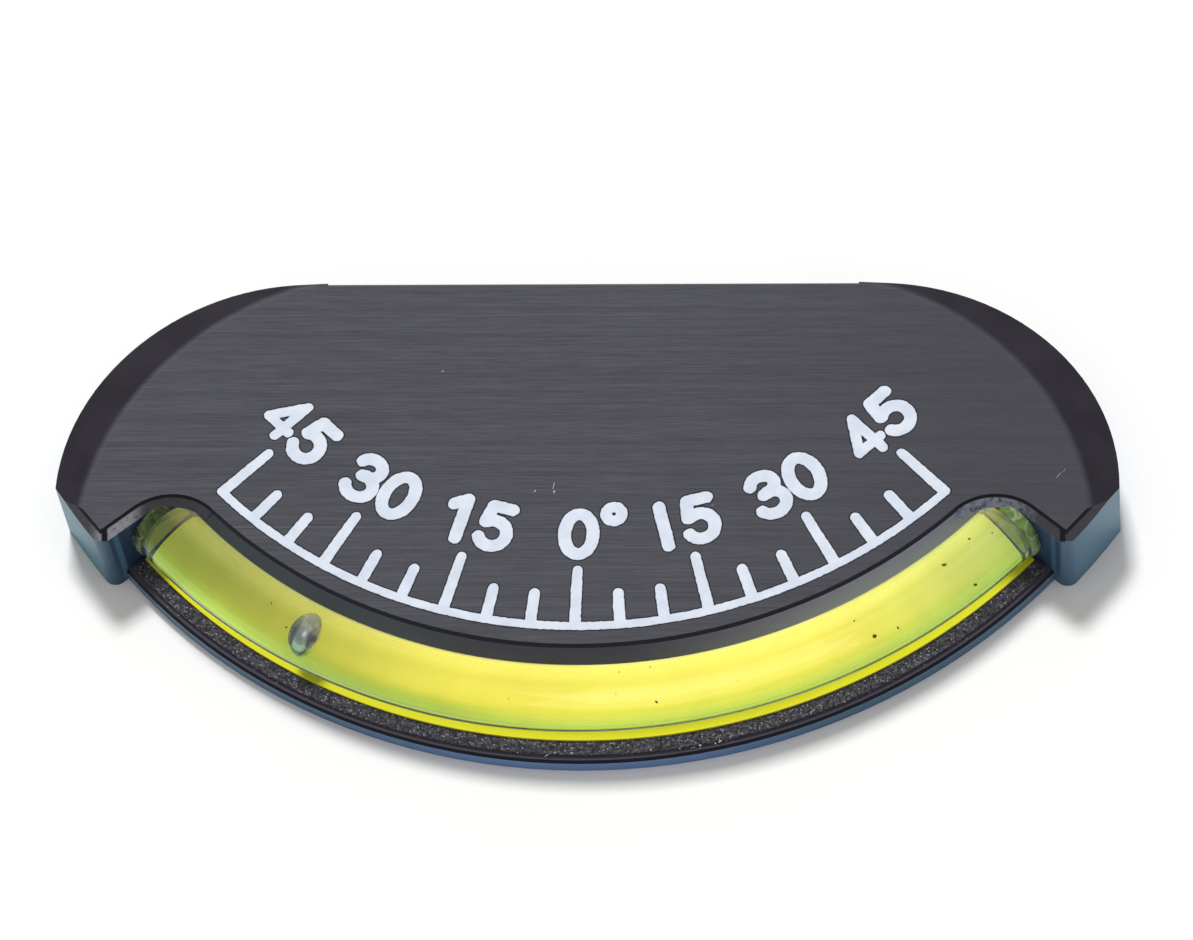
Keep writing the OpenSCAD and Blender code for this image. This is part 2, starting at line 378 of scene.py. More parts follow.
def wall_colours(f, x, y, radius, in_channel):
    """Painted reflections: navy and teal on the ears, blue on the rim, and greys inside the channel; near
    black behind.
    """
    channel = f.blend(x.ramp(2 * MM, 30 * MM), CHANNEL_REFLECTION_DARK, CHANNEL_REFLECTION_GREY)
    channel = f.blend((x * -1).ramp(2 * MM, 26 * MM), channel, CHANNEL_REFLECTION_BLUE)
    teal = f.blend(x < 0, TEAL_REFLECTION, TEAL_REFLECTION_LEFT)
    navy = f.blend(x < 0, NAVY_REFLECTION, NAVY_REFLECTION_LEFT)
    rim = f.blend(abs(x).ramp(6 * MM, 30 * MM), RIM_REFLECTION, RIM_REFLECTION_SIDES)
    wall = f.blend(abs(x).ramp(EAR_WALL_INNER_X, EAR_WALL_OUTER_X), navy, teal)
    wall = f.blend(y.ramp(9 * MM, 21 * MM), wall, WALL_BACK)
    wall = f.blend(abs(radius - RIM_R).ramp(0.4 * MM, 0.2 * MM) * (y < 0), wall, rim)
    return f.blend(in_channel, wall, channel)


def housing_colours(f):
    """The colour, with its painted shade, highlights and reflections, and the gloss of each kind of surface
    on the housing.
    """
    place = f.place()
    x, y, z = f.axes(place)
    tilt = f.axes(f.node("NewGeometry")["True Normal"])[2]
    radius = f.from_centre(x, y)
    lines, pale = brushed_lines(f, x, y)
    mottle = f.grain(place, 210, 3.0)
    wear_and_sheen = f.grain(place, 1500, 4.0, 0.7)
    is_wall = tilt.ramp(0.60, 0.45)
    in_channel = (radius < ARC_WALL_R + 0.35 * MM) * (abs(x) < CHANNEL_HALF) * (y < CHANNEL_TOP_Y)

    face = f.blend(lines * 0.75 + wear_and_sheen * 0.25, FACE_GREY, FACE_LIGHT)
    face = f.blend(pale * 0.30, face, FACE_STREAK)
    # Painted shade: the face turns darker towards the right.
    face = f.blend(x.ramp(2 * MM, 46 * MM) * 0.6, face, FACE_GREY)
    # Painted shade: the sloping shoulders are darker than the face.
    shoulder = f.blend(mottle.ramp(0.3, 0.7), SHOULDER_SHADE, SHOULDER_SHADE_PALE)
    sloping = tilt.ramp(0.985, 0.965) * z.ramp(face_z - 0.02 * MM, face_z - 0.32 * MM)
    colour = f.blend(sloping, face, shoulder)
    colour = f.blend(z < LIP_TOP_Z, colour, LIP_BLACK)
    colour = f.blend(tilt.ramp(0.90, 0.82), colour, chamfer_colours(f, x, y, z, radius, wear_and_sheen))
    colour = f.blend(is_wall, colour, wall_colours(f, x, y, radius, in_channel))
    colour = f.blend(tilt.ramp(-0.5, -0.9), colour, BACK_BLACK)
    f.feed("Base Color", colour)

    flat = tilt.ramp(0.90, 0.985)
    rough = 0.34 + flat * (0.10 + lines * 0.10) + mottle * 0.04
    f.feed("Roughness", rough + in_channel * is_wall * 0.4)
    f.bump(flat * lines + wear_and_sheen * 0.2, 0.010 * MM, 0.6)


housing_finish = Finish("housing_black", Roughness=0.42, Specular_IOR_Level=0.30)
housing_colours(housing_finish)
cover(node["housing"], housing_finish)
print("housing finish:", len(housing_finish.tree.nodes), "nodes")

# %% [markdown]
# ## The strip, the film and the ball
# The tube lies on a bright film, and the film on a grainy black strip. The strip sparkles with grey grains.
# Thousands of small meshes could make them, but at this size a material that scatters cells and lights a
# few of them looks the same and renders faster. The film is fluorescent: it sends back more yellow than
# falls on it, so it gets emission of its own colour, apart from its bare outer edge. That emission is also
# painted light: it is strong enough to make up for the shadow that the plate casts on the film.

# %% Finishes of the strip, the film and the ball
STRIP_BLACK = (0.018, 0.017, 0.024)
STRIP_GREY = (0.104, 0.100, 0.122)
STRIP_GRAIN = (0.34, 0.33, 0.37)
FILM_YELLOW = (0.90, 0.80, 0.058)
FILM_LIGHT = (0.97, 0.87, 0.074)
FILM_EDGE = (0.88, 0.84, 0.034)
FILM_R = dial_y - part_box("reflector_film")[0].y
STEEL_GREY = (0.76, 0.78, 0.82)
STEEL_BRIGHT = (0.92, 0.94, 0.97)
NO_GLOW = (0.0, 0.0, 0.0)


def strip_grain(f):
    """Black lumps, with pale grains where a scattered cell draws a high number."""
    place = f.place()
    specks = f.cells(place, 5200)
    lit = f.axes(specks["Color"])[0].ramp(0.62, 0.95) * specks["Distance"].ramp(0.55, 0.25)
    lump = f.grain(place, 3000, 4.0, 0.7)
    base = f.blend(lump.ramp(0.35, 0.7), STRIP_BLACK, STRIP_GREY)
    f.feed("Base Color", f.blend(lit, base, STRIP_GRAIN))
    f.bump(lump + specks["Distance"] * 0.5, 0.10 * MM, 1.0)


def film_colours(f):
    """A cloudy yellow that glows, partly by fluorescence and partly as painted light, up to a greener edge
    that doesn't.
    """
    place = f.place()
    x, y, z = f.axes(place)
    cloud = f.grain(place, 160, 3.0)
    yellow = f.blend(cloud.ramp(0.35, 0.65), FILM_YELLOW, FILM_LIGHT)
    edge = f.from_centre(x, y).ramp(FILM_R - 1.35 * MM, FILM_R - 0.85 * MM)
    f.feed("Base Color", f.blend(edge, yellow, FILM_EDGE))
    f.feed("Emission Color", f.blend(edge, yellow, NO_GLOW))


strip_finish = Finish("bedding_black", Roughness=0.75)
strip_grain(strip_finish)
cover(node["bedding_strip"], strip_finish)

# The emission is fluorescence and painted light together: it also lights the film where the plate shades it.
film_finish = Finish("film_yellow", Roughness=0.28, Emission_Strength=0.715)
film_colours(film_finish)
cover(node["reflector_film"], film_finish)

steel = Finish("ball_steel", Metallic=0.90)
steel_smear = steel.grain(steel.place(), 1500, 3.0)
steel.feed("Base Color", steel.blend(steel_smear.ramp(0.3, 0.7), STEEL_GREY, STEEL_BRIGHT))
steel.feed("Roughness", 0.20 + steel_smear * 0.12)
cover(node["ball"], steel)
print("finishes on the strip, the film and the ball")

# %% [markdown]
# The stoppers' colour is painted light: the yellow of the film behind them. The sealant is a soft green
# that lets some light through, with paler creases, and it is darker on the left. Full glass would show the
# film through it too brightly, so it is only half clear. Foam and paper lie out of sight at the back, and get
# plain cells and plain fibres.

# %% Finishes of the stoppers, the sealant, the foam and the paper
PLUG_OLIVE = (0.62, 0.66, 0.10)
PLUG_YELLOW = (0.78, 0.80, 0.16)
SEAL_DEEP = (0.16, 0.30, 0.08)
SEAL_GREEN = (0.36, 0.52, 0.17)
SEAL_DEEP_LEFT = (0.03, 0.06, 0.02)
SEAL_GREEN_LEFT = (0.14, 0.22, 0.07)
SEAL_CREASE = (0.66, 0.78, 0.48)
FOAM_GREY = (0.60, 0.60, 0.58)
FOAM_LIGHT = (0.80, 0.80, 0.78)
PAPER_BROWN = (0.58, 0.47, 0.27)
PAPER_LIGHT = (0.74, 0.64, 0.42)


def sealant_colours(f):
    """Cloudy green with pale creases; the left bead is darker, and its creases are fainter."""
    place = f.place()
    on_left = f.axes(place)[0] < 0
    lump = f.grain(place, 700, 3.0, 0.6)
    cloud = lump.ramp(0.35, 0.65)
    green = f.blend(cloud, SEAL_DEEP, SEAL_GREEN)
    green = f.blend(on_left, green, f.blend(cloud, SEAL_DEEP_LEFT, SEAL_GREEN_LEFT))
    crease = abs(f.grain(place, 420, 2.0) - 0.5).ramp(0.035, 0.0) * (1 - on_left * 0.7)
    f.feed("Base Color", f.blend(crease * 0.7, green, SEAL_CREASE))
    f.bump(lump, 0.30 * MM, 1.0)


# Painted light: the stoppers' olive and yellow stand for the film's light behind them.
stopper = Finish("plug_clear", Roughness=0.30, Transmission_Weight=0.25, IOR=1.45)
stopper_cloud = stopper.grain(stopper.place(), 900, 3.0)
stopper.feed("Base Color", stopper.blend(stopper_cloud.ramp(0.3, 0.7), PLUG_OLIVE, PLUG_YELLOW))
for name in ("plug_left", "plug_right"):
    cover(node[name], stopper)

sealant = Finish("seal_clear", Roughness=0.22, Transmission_Weight=0.45, IOR=1.41)
sealant_colours(sealant)

foam = Finish("pad_foam", Roughness=0.9)
foam_cells = foam.cells(foam.place(), 2400)["Distance"]
foam.feed("Base Color", foam.blend(foam_cells, FOAM_GREY, FOAM_LIGHT))
foam.bump(foam_cells, 0.08 * MM, 0.8)
cover(node["adhesive_pad"], foam)

paper = Finish("liner_paper", Roughness=0.45)
paper_x, paper_y, paper_z = paper.axes(paper.place())
fibres = paper.grain(paper.vector(paper_x * 900, paper_y * 2600, paper_z), 1.0, 4.0)
paper.feed("Base Color", paper.blend(fibres.ramp(0.3, 0.7), PAPER_BROWN, PAPER_LIGHT))
paper.bump(fibres, 0.02 * MM, 0.6)
cover(node["release_liner"], paper)
print("finishes on the small parts")

# %% [markdown]
# ## The tube
# The CAD tube is a plain solid. What makes the real one is light: clear acrylic filled with a fluid that
# bends light almost as strongly, so the tube acts as one thick lens. It stretches the narrow film below to
# its full width and shows the ball half as wide again as it is. Two surfaces do this: the outside with the
# acrylic's index, and the bore with the ratio of acrylic to fluid. A curve with a round bevel would give
# the outside in one step, but neither the small rounding at the ends nor a bore in the same closed surface.
# So rings of points are set along the dial and joined by quads.

# %% Sweep a round section along the dial
def make_piece(name, points, faces, body, finishes, smooth=True):
    """A mesh object that rides on a CAD body."""
    mesh = bpy.data.meshes.new(name)
    mesh.from_pydata([tuple(p) for p in points], [], faces)
    mesh.update()
    piece = bpy.data.objects.new(name, mesh)
    bpy.context.scene.collection.objects.link(piece)
    for finish in finishes:
        mesh.materials.append(finish.material)
    if smooth:
        mesh.shade_smooth()
    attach(piece, body)
    return piece


def ring(angle, radius, count):
    """A circle of points round the tube's centreline at one dial angle."""
    points = []
    for step in range(count):
        turn = 2 * math.pi * step / count
        points.append(dial_point(angle, path_r + radius * math.cos(turn), tube_z + radius * math.sin(turn)))
    return points


def bridge(first, second, count):
    """Quads between two rings that start at these point numbers."""
    return [(first + k, second + k, second + (k + 1) % count, first + (k + 1) % count) for k in range(count)]


AROUND = 64
ALONG = 180
EDGE_STEPS = 4
EDGE = 0.3 * MM
edge_angle = math.degrees(EDGE / path_r)
straight_angle = tube_angle - edge_angle
outline = []
for step in range(EDGE_STEPS + 1):
    lean = math.pi / 2 * step / EDGE_STEPS
    angle = -tube_angle + edge_angle * (1 - math.sin(lean))
    outline.append((angle, tube_r - EDGE * (1 - math.cos(math.pi / 2 - lean))))
rounded = list(reversed(outline))
for step in range(1, ALONG):
    outline.append((-tube_angle + edge_angle + 2 * straight_angle * step / ALONG, tube_r))
outline += [(-angle, radius) for angle, radius in rounded]
bore = [(tube_angle - 2 * tube_angle * step / ALONG, bore_r) for step in range(ALONG + 1)]
rings = outline + bore
tube_points = [point for angle, radius in rings for point in ring(angle, radius, AROUND)]
tube_faces = []
for number in range(len(rings)):
    tube_faces += bridge(number * AROUND, (number + 1) % len(rings) * AROUND, AROUND)
print("tube:", len(outline), "rings outside and", len(bore), "in the bore")

# %% [markdown]
# The real tube isn't evenly clear to look at, and this is light, painted into its colour and emission:
# it is olive and darker towards the left end and cooler towards the right, the outer lower side is green
# where one looks along the film's edge, long soft bands of light lie in it, the top is lit more brightly,
# and a faint bluish sheen lies over it. A volume could colour the fluid, but an export keeps no volumes, so
# the surface carries the colour. Two measures place it all: how far along the dial, and how far round the
# section, from -1 at the upper inner side to 1 at the lower outer side.

# %% Finish of the tube
CLEAR = (1.0, 1.0, 0.97)
# Painted light in the tube: shade towards the left, cool light towards the right, green along the lower side,
# and shade between bands of sheen.
OLIVE_SHADE_LEFT = (0.34, 0.42, 0.38)
COOL_LIGHT_RIGHT = (0.42, 0.66, 0.95)
BAND_SHADE = (0.88, 0.90, 0.62)
LOW_GREEN = (0.27, 0.60, 0.08)
LOW_GREEN_LEFT = (0.52, 0.92, 0.70)
LOW_GREEN_DIP = (0.15, 0.38, 0.14)
# Emission that paints sheen and light on the tube: a faint bluish sheen, bands of sheen, and light along the
# top where the plate's shadow falls on the film below.
BLUE_SHEEN = (0.003, 0.004, 0.014)
BLUE_SHEEN_RIGHT = (0.004, 0.006, 0.042)
BAND_SHEEN = (0.070, 0.069, 0.070)
LOW_SHEEN = (0.0, 0.0, 0.004)
LIGHT_ON_TOP = (0.24, 0.22, 0.095)
BORE_CLEAR = (0.995, 0.995, 0.985, 1)
DIP_X = -18 * MM


def tube_colours(f):
    """Clear in the middle; painted light makes it olive towards the left, cooler towards the right and green
    along the outer lower side.
    """
    x, y, z = f.axes(f.place())
    side = (f.from_centre(x, y) - path_r) * (0.9 / tube_r) - (z - tube_z) * (0.42 / tube_r)
    left = (x * -1).ramp(8 * MM, 38 * MM)
    right = x.ramp(20 * MM, 46 * MM)
    dip = abs(x - DIP_X).ramp(17 * MM, 4 * MM)
    low = side.ramp(0.10, 0.92 - dip * 0.25)
    bands = f.grain(f.vector(x * 7, side * 1.9 + x * 9, 2.7), 1.0, 1.0)

    # Painted light: olive shade on the left, cool light on the right, green along the lower side, and shade
    # between the bands.
    tint_and_light = f.blend(left, CLEAR, OLIVE_SHADE_LEFT)
    tint_and_light = f.blend(right * 0.8, tint_and_light, COOL_LIGHT_RIGHT)
    deep = f.blend(left, LOW_GREEN, LOW_GREEN_LEFT)
    deep = f.blend(dip * 0.6, deep, LOW_GREEN_DIP)
    tint_and_light = f.blend(low * 0.95, tint_and_light, deep)
    tint_and_light = f.blend(bands.ramp(0.62, 0.38) * 0.35, tint_and_light, f.blend(1.0, tint_and_light, BAND_SHADE, "MULTIPLY"))
    f.feed("Base Color", tint_and_light)

    # Painted sheen in bands, a faint bluish sheen, none on the lower side, and painted light along the top.
    sheen_bands = bands.ramp(0.44, 0.64) * side.ramp(0.80, 0.2)
    shine = f.blend(sheen_bands, f.blend(right, BLUE_SHEEN, BLUE_SHEEN_RIGHT), BAND_SHEEN)
    shine = f.blend(low, shine, LOW_SHEEN)
    lit_top = side.ramp(-0.30, -0.95) * (1 - left * 0.35)
    f.feed("Emission Color", f.blend(lit_top, shine, LIGHT_ON_TOP))


acrylic = Finish("tube_clear", Roughness=0.03, Transmission_Weight=1.0, IOR=1.49, Emission_Strength=1.0)
tube_colours(acrylic)
bore_wall = Finish("tube_bore", Roughness=0.02, Transmission_Weight=1.0, IOR=1.02, Base_Color=BORE_CLEAR)
tube = make_piece("tube_glass", tube_points, tube_faces, "body", [acrylic, bore_wall])
outside = len(outline) * AROUND
for face in tube.data.polygons:
    if min(face.vertices) >= outside:
        face.material_index = 1
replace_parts(tube, "tube")
print("tube:", len(tube.data.polygons), "faces")

# %% [markdown]
# The ends of the tube are held by a bead of sealant that was pushed on with a finger. It is a cup over the
# end: a thin collar on the tube, a lumpy cap beyond it. It could be sculpted, but a profile that is turned
# round the tube's centreline and pushed about by noise comes out the same in each run, and stays clear of
# the channel's wall and of the film below. Each row of the profile says how far beyond the tube's end it
# lies, how far it swells past the tube, both in millimetres, and how lumpy it is. A row without a swell is
# the point that closes the cup.

# %% Seal the ends
film_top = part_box("reflector_film")[1].z
wall_r = path_r - tube_r - 0.1 * MM
GAP = 0.02 * MM
FILM_GAP = 0.01 * MM
LUMP = 0.16 * MM
CUP = [
    (0.03, None, 0.0), (0.03, 0.0, 0.0), (-0.75, 0.0, 0.0), (-0.70, 0.08, 0.3),
    (-0.45, 0.20, 1.0), (-0.10, 0.30, 1.0), (0.25, 0.32, 1.0), (0.50, 0.12, 1.2),
    (0.72, -0.45, 1.2), (0.90, -1.35, 0.8), (0.98, -2.4, 0.3), (1.0, None, 0.0),
]


def lumpy(point, centre, turn, reach, lumps, seed):
    """A point of the profile, pushed out by noise and kept off the film and the channel's wall."""
    spot = (math.cos(turn) * 1.6, math.sin(turn) * 1.6, reach * 1.3 + seed)
    push = lumps * LUMP * (noise.noise(spot) + 0.5 * noise.noise([3 * c for c in spot]))
    point = point + (point - centre).normalized() * push
    point.z = max(point.z, film_top + FILM_GAP)
    radius = math.hypot(point.x, point.y - dial_y)
    if radius < wall_r:
        point.x *= wall_r / radius
        point.y = dial_y + (point.y - dial_y) * wall_r / radius
    return point


def bead(name, side, seed):
    """A lumpy cup of sealant over one end of the tube; side is 1 on the right and -1 on the left."""
    points, faces, starts = [], [], []
    for reach, swell, lumps in CUP:
        angle = side * (tube_angle + math.degrees(reach * MM / path_r))
        centre = dial_point(angle, path_r, tube_z)
        starts.append(len(points))
        if swell is None:
            points.append(centre)
            continue
        for step, point in enumerate(ring(angle, tube_r + GAP + swell * MM, AROUND)):
            turn = 2 * math.pi * step / AROUND
            points.append(lumpy(point, centre, turn, reach, lumps, seed))
    for number in range(len(CUP) - 1):
        here, after = starts[number], starts[number + 1]
        if CUP[number][1] is None:
            faces += [(here, after + (k + 1) % AROUND, after + k) for k in range(AROUND)]
        elif CUP[number + 1][1] is None:
            faces += [(here + k, here + (k + 1) % AROUND, after) for k in range(AROUND)]
        else:
            faces += [tuple(reversed(loop)) for loop in bridge(here, after, AROUND)]
    if side > 0:
        faces = [tuple(reversed(loop)) for loop in faces]
    return make_piece(name, points, faces, "body", [sealant])


for side, ending in ((-1, "left"), (1, "right")):
    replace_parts(bead("sealant_" + ending, side, 11.0 + side), "seal_" + ending)
print("sealant on both ends")

# %% [markdown]
# A gauge that has been handled carries dust: dark specks on the tube, pale crumbs along the lip and a hair
# or two on the face. A texture of dots would do from afar, but dots are flat, and dust stands up and
# catches the light. So each grain is a small closed lump with its own size, turn and outline.

# %% One grain
LUMP_SIDES = 9
LUMP_HEIGHT = 0.02 * MM


def grain_of_grit(middle, normal, along, length, width, height, rng):
    """Points and faces of one lump: a crown and a root over an uneven ring."""
    across = normal.cross(along).normalized()
    along = across.cross(normal).normalized()
    points = [middle + normal * height, middle - normal * height * 0.5]
    for step in range(LUMP_SIDES):
        turn = 2 * math.pi * step / LUMP_SIDES
        wobble = rng.uniform(0.7, 1.25)
        points.append(middle + (along * length * math.cos(turn) + across * width * math.sin(turn)) * wobble)
    loops = []
    for step in range(LUMP_SIDES):
        a, b = 2 + step, 2 + (step + 1) % LUMP_SIDES
        loops += [(0, a, b), (1, b, a)]
    return points, loops


def grit(name, grains, finish, seed):
    """Many lumps as one piece."""
    rng = random.Random(seed)
    points, faces = [], []
    for grain in grains:
        more, loops = grain_of_grit(*grain, rng)
        faces += [tuple(k + len(points) for k in loop) for loop in loops]
        points += more
    return make_piece(name, points, faces, "body", [finish], False)


def on_tube(angle, turn):
    """A place on the tube's surface and the outward direction there."""
    lift = math.radians(turn)
    centre = dial_point(angle, path_r, tube_z)
    out = (dial_point(angle, 1.0) - dial_point(angle, 0.0)) * math.cos(lift) + Vector((0, 0, math.sin(lift)))
    return centre + out * tube_r, out


print("a grain has", 2 + LUMP_SIDES, "points")

# %% [markdown]
# The larger specks on the tube have their places: an angle on the dial, an angle round the tube, and a size
# in millimetres. Their turn and width are drawn at random.

# %% Dust on the tube
SPECK_GREEN = (0.05, 0.07, 0.01)
SPECK_LIGHT = (0.12, 0.14, 0.03)
SPECKS = [
    (28.8, 88.6, 0.13), (29.9, 49.3, 0.22), (32.3, 42.7, 0.16), (4.6, 111.6, 0.10), (5.4, 132.5, 0.08),
    (7.8, 117.1, 0.09), (8.0, 49.6, 0.15), (4.2, 69.4, 0.09), (43.4, 103.2, 0.15), (39.6, 92.7, 0.20),
    (41.0, 31.1, 0.19), (45.5, 83.7, 0.12), (-29.7, 66.1, 0.12), (-32.4, 89.4, 0.12), (-14.0, 80.0, 0.07),
    (16.0, 60.0, 0.07), (20.5, 104.0, 0.08), (-38.0, 112.0, 0.07), (12.4, 88.0, 0.06), (-6.2, 58.0, 0.06),
]
dust_rng = random.Random(4)
dust = []
for angle, turn, size in SPECKS:
    middle, out = on_tube(angle, turn)
    heading = Vector((dust_rng.uniform(-1, 1), dust_rng.uniform(-1, 1), dust_rng.uniform(-1, 1)))
    width = size * MM * dust_rng.uniform(0.5, 1.0)
    dust.append((middle, out, heading, size * MM * 1.15, width, LUMP_HEIGHT))
speck = Finish("speck_dark", Roughness=0.7)
speck.feed("Base Color", speck.blend(speck.grain(speck.place(), 3000), SPECK_GREEN, SPECK_LIGHT))
grit("dust_on_tube", dust, speck, 1)
print(len(dust), "specks on the tube")

# %% [markdown]
# Small crumbs lie anywhere along the lip, and four larger ones have their places. The hairs and chips on
# the face are long thin grains: each has its middle, its direction, and half its length and width.

# %% Crumbs on the lip and hairs on the face
LIP_R = 58.4 * MM
LIP_Z = 2.1 * MM
CRUMB_COUNT = 46
CRUMB_SIZES = (0.04, 0.05, 0.05, 0.06, 0.09)
LARGE_CRUMBS = ((22.3, 58.05, 0.16), (19.2, 56.9, 0.13), (13.3, 58.45, 0.12), (-2.8, 58.5, 0.15))
CRUMB_BROWN = (0.22, 0.20, 0.18)
CRUMB_PALE = (0.72, 0.70, 0.66)
HAIR_GREY = (0.34, 0.35, 0.37)
HAIR_PALE = (0.66, 0.68, 0.70)
HAIRS = [
    (-4.45, 0.93, 0.6, 0.8, 0.20, 0.05), (-2.70, 1.50, 0.15, 1.0, 0.42, 0.035),
    (-2.62, 0.85, 0.5, 1.0, 0.13, 0.09), (45.1, 2.6, 0.8, 1.0, 0.40, 0.02),
    (45.6, 3.1, 0.6, 1.0, 0.26, 0.02), (-14.0, 14.0, 1.0, 0.2, 0.12, 0.04),
    (12.5, -0.6, 1.0, 0.1, 0.12, 0.03),
]
UP = Vector((0, 0, 1))

crumbs = []
for count in range(CRUMB_COUNT):
    angle = dust_rng.uniform(-45, 45)
    middle = dial_point(angle, LIP_R + dust_rng.uniform(-0.45, 0.30) * MM, LIP_Z)
    size = dust_rng.choice(CRUMB_SIZES) * MM
    heading = Vector((dust_rng.uniform(-1, 1), dust_rng.uniform(-1, 1), 0))
    crumbs.append((middle, UP, heading, size * 1.5, size * dust_rng.uniform(0.5, 1), size))
for angle, radius, size in LARGE_CRUMBS:
    middle = dial_point(angle, radius * MM, LIP_Z)
    crumbs.append((middle, UP, Vector((1, 0.6, 0)), size * MM * 1.5, size * MM * 0.6, size * MM * 0.7))
crumb = Finish("crumb_pale", Roughness=0.8)
crumb_cloud = crumb.grain(crumb.place(), 1500).ramp(0.3, 0.7)
crumb.feed("Base Color", crumb.blend(crumb_cloud, CRUMB_BROWN, CRUMB_PALE))
grit("crumbs_on_lip", crumbs, crumb, 2)

hairs = []
for x, y, along_x, along_y, half_length, half_width in HAIRS:
    middle = Vector((x * MM, y * MM, face_z))
    hairs.append((middle, UP, Vector((along_x, along_y, 0)), half_length * MM, half_width * MM, LUMP_HEIGHT))
hair = Finish("hair_pale", Roughness=0.6)
hair.feed("Base Color", hair.blend(hair.grain(hair.place(), 2000), HAIR_GREY, HAIR_PALE))
grit("hairs_on_face", hairs, hair, 3)
print(len(crumbs), "crumbs and", len(hairs), "hairs")

# %% [markdown]
# ## Paint in the engraving
# The marks were cut with a round cutter and filled with white paint, so every stroke has round ends and a
# slightly ragged outline. A stroke is the set of points nearer to a line than half its width. The code
# measures that distance on a fine grid, adds a little noise, and cuts each grid cell along the line where
# the distance is zero. That gives closed outlines for any crossing strokes without boolean operations.

# %% Cut paint from distances
CELL = 0.085 * MM
RAGGED = 0.055 * MM
PAINT_LIFT = 0.014 * MM
PAINT_ROUND = 0.10 * MM
PAINT_SINK = 0.05 * MM
GROOVE_LIP = 0.17 * MM


def stroke_distance(grid, path, width):
    """Distance from each grid point to a stroke's outline; below zero inside."""
    nearest = np.full(grid.shape[:2], 1.0)
    for start, end in zip(path[:-1], path[1:]):
        a = np.array(start)
        span = np.array(end) - a
        share = np.clip(((grid - a) @ span) / max(span @ span, 1e-18), 0, 1)
        nearest = np.minimum(nearest, np.linalg.norm(grid - a - share[..., None] * span, axis=2))
    return nearest - width / 2


def ragged(grid, seed):
    """Noise that roughens an outline, within about 1 of zero."""
    def rough(u, v):
        fine = noise.noise((u * 2600, v * 2600, seed))
        return fine + 0.6 * noise.noise((u * 900, v * 900, seed + 9))

    return np.array([[rough(u, v) for u, v in line] for line in grid])


def cut_cells(distance):
    """The part of each grid cell below zero. A corner is (grid point, other grid point, share between)."""
    four = [distance[:-1, :-1], distance[1:, :-1], distance[:-1, 1:], distance[1:, 1:]]
    for i, j in np.argwhere(np.minimum.reduce(four) < 0):
        corners = [(i, j), (i + 1, j), (i + 1, j + 1), (i, j + 1)]
        polygon = []
        for here, after in zip(corners, corners[1:] + corners[:1]):
            d_here, d_after = distance[here], distance[after]
            if d_here < 0:
                polygon.append((here, here, 0.0))
            if (d_here < 0) != (d_after < 0):
                low, high = sorted((here, after))
                polygon.append((low, high, distance[low] / (distance[low] - distance[high])))
        if len(polygon) > 2:
            yield polygon


print(f"paint is cut on cells of {CELL / MM:.3f} mm")

# %% [markdown]
# The kept parts of the cells form the top of the paint. A copy of it further down is the bottom, and a
# skirt of quads along the outline closes the two.

# %% Make paint from strokes
def paint(name, strokes, low, high, seed, to_dial, sink=PAINT_SINK):
    """A closed film of paint: a softly domed top over a flat bottom, from strokes on a local grid."""
    strokes = [(path, width + 2 * GROOVE_LIP) for path, width in strokes]
    u = np.arange(low[0], high[0] + CELL, CELL)
    v = np.arange(low[1], high[1] + CELL, CELL)
    grid = np.stack(np.meshgrid(u, v, indexing="ij"), axis=2)
    distance = np.minimum.reduce([stroke_distance(grid, path, width) for path, width in strokes])
    distance = distance + ragged(grid, seed) * RAGGED
    numbers, tops, depths, faces = {}, [], [], []
    for polygon in cut_cells(distance):
        loop = []
        for key in polygon:
            if key not in numbers:
                start, end, share = key
                spot = grid[start] * (1 - share) + grid[end] * share
                depth = max(0.0, -distance[start]) if share == 0 and start == end else 0.0
                dome = 1 - math.exp(-max(0.0, depth - GROOVE_LIP) / PAINT_ROUND)
                numbers[key] = len(tops)
                depths.append(depth / MM)
                tops.append(to_dial(spot[0], spot[1], face_z + PAINT_LIFT * (0.3 + 0.7 * dome)))
            loop.append(numbers[key])
        faces.append(tuple(loop))
    count = len(tops)
    edges = {(a, b): True for loop in faces for a, b in zip(loop, loop[1:] + loop[:1])}
    skirt = [(b, a, a + count, b + count) for a, b in edges if (b, a) not in edges]
    bottoms = [Vector((p.x, p.y, face_z - sink)) for p in tops]
    under = [tuple(k + count for k in reversed(loop)) for loop in faces]
    points = tops + bottoms
    piece = make_piece(name, points, faces + skirt + under, "body", [paint_finish], False)
    inset = piece.data.attributes.new("inset", "FLOAT", "POINT")
    inset.data.foreach_set("value", depths + [0.0] * count)
    return piece


print("paint has a domed top, a flat bottom and a skirt between them")

# %% [markdown]
# The groove is a little wider than its paint, and the shade in it is painted as a dark outline. So each
# point of the paint carries its distance from the outline as a named number, and the finish turns dark
# where that is small.

# %% Finish of the paint
PAINT_BLUE = (0.66, 0.73, 0.85)
PAINT_WHITE = (0.76, 0.82, 0.92)
# Painted shade in the groove around the paint.
GROOVE_SHADE = (0.008, 0.008, 0.013)

paint_finish = Finish("infill_white", Roughness=0.55)
paint_cloud = paint_finish.grain(paint_finish.place(), 650, 3.0)
paint_colour = paint_finish.blend(paint_cloud.ramp(0.3, 0.7), PAINT_BLUE, PAINT_WHITE)
inset = paint_finish.node("Attribute", {"attribute_name": "inset"})["Fac"]
# Painted shade: the paint turns dark near its outline, where the groove shows.
groove_shade_mask = (inset + (paint_cloud - 0.5) * 0.05).ramp(0.08, 0.17)
paint_finish.feed("Base Color", paint_finish.blend(groove_shade_mask, GROOVE_SHADE, paint_colour))
paint_finish.bump(paint_cloud, 0.02 * MM, 0.6)
print("paint finish:", len(paint_finish.tree.nodes), "nodes")

# %% [markdown]
# The scale is one arc with a tick every five degrees. On a polar grid, where one axis runs along the arc
# and the other towards the centre, all of its strokes are straight.

